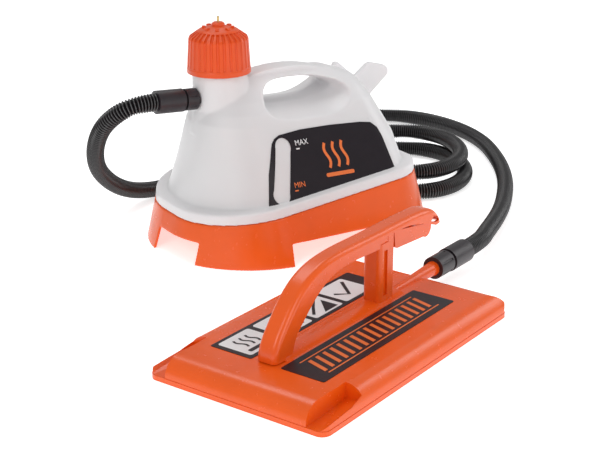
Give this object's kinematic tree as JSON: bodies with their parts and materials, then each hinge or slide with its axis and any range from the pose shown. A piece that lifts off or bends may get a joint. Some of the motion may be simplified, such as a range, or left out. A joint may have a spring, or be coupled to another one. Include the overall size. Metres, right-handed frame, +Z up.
{
  "type": "wallpaper steamer",
  "caption": "Wallpaper steamer with a milky water tank on an orange skirted base, a screw cap, a coiled corrugated hose and a flat steam plate with a D-shaped handle.",
  "frame": {"origin": "bottom centre of the box round the tank and the steam plate, on the floor", "axes": "+Z up, +X along the tank towards its hose hook, -Y towards the steam plate and the tank's label"},
  "size_m": [0.7629, 0.8217, 0.271],
  "materials": {
    "tank_white": "milky translucent moulding",
    "orange_plastic": "satin",
    "black_hose": "satin corrugated",
    "black_fitting": "satin",
    "dark_label": "printed film",
    "seal_rubber": "matt",
    "steel": "drawn",
    "brass_parts": "turned",
    "black_inner": "moulded",
    "wire_brown": "insulation",
    "wire_blue": "insulation",
    "wire_green": "insulation"
  },
  "bodies": {
    "tank": {"tank_shell": "tank_white", "hose_hook": "tank_white", "tank_label": "dark_label", "outlet_spigot": "black_fitting", "outlet_collar": "black_fitting", "tank_hose_cuff": "black_fitting", "tank_o_ring": "seal_rubber", "base_skirt": "orange_plastic", "base_cover": "orange_plastic", "cover_screws": "steel", "tank_screws": "steel", "element_gasket": "seal_rubber", "element_flange": "brass_parts", "heating_element": "steel", "element_nut": "brass_parts", "thermal_cutout": "steel", "cutout_bracket": "steel", "terminal_block": "black_inner", "terminal_screws": "brass_parts", "cord_gland": "black_inner", "cord_clamp": "black_inner", "clamp_screws": "brass_parts", "live_wire": "wire_brown", "neutral_wire": "wire_blue", "earth_wire": "wire_green", "hose_tank_run": "black_hose", "hose_coil": "black_hose", "hose_plate_run": "black_hose"},
    "seal_carrier": {"cap_seal": "seal_rubber"},
    "cap": {"filler_cap": "orange_plastic", "valve_housing": "orange_plastic", "valve_spring": "steel"},
    "valve": {"valve_pin": "steel", "valve_seal": "seal_rubber"},
    "tank_nut": {"tank_swivel_nut": "black_fitting"},
    "steam_plate": {"plate_shell": "orange_plastic", "plate_handle": "orange_plastic", "handle_inner": "orange_plastic", "handle_screws": "steel", "steam_pipe": "orange_plastic", "steam_baffle": "orange_plastic", "plate_front_label": "dark_label", "plate_back_label": "dark_label", "plate_hose_cuff": "black_fitting", "plate_o_ring": "seal_rubber"},
    "plate_nut": {"plate_swivel_nut": "black_fitting"}
  },
  "joints": [
    {"name": "cap_lift", "type": "slide", "parent": "tank", "child": "seal_carrier", "axis": [0, 0, 1], "range_m": [0, 0.06]},
    {"name": "cap_turn", "type": "hinge", "parent": "seal_carrier", "child": "cap", "pos_m": [-0.012, 0.1775, 0.225], "axis": [0, 0, 1], "continuous": true},
    {"name": "valve_lift", "type": "slide", "parent": "cap", "child": "valve", "axis": [0, 0, 1], "range_m": [0, 0.003], "stiffness_N_per_m": 600, "springref_m": -0.003, "deforming": ["valve_spring"]},
    {"name": "tank_nut_turn", "type": "hinge", "parent": "tank", "child": "tank_nut", "pos_m": [-0.05099, 0.1775, 0.17842], "axis": [-0.9986, 0, 0.0523], "continuous": true},
    {"name": "plate_lift", "type": "slide", "parent": "tank", "child": "steam_plate", "axis": [0, 0, 1], "range_m": [0, 0.05]},
    {"name": "plate_nut_turn", "type": "hinge", "parent": "steam_plate", "child": "plate_nut", "pos_m": [0.12208, -0.07533, 0.0233], "axis": [0.9272, 0.3746, 0], "continuous": true}
  ]
}
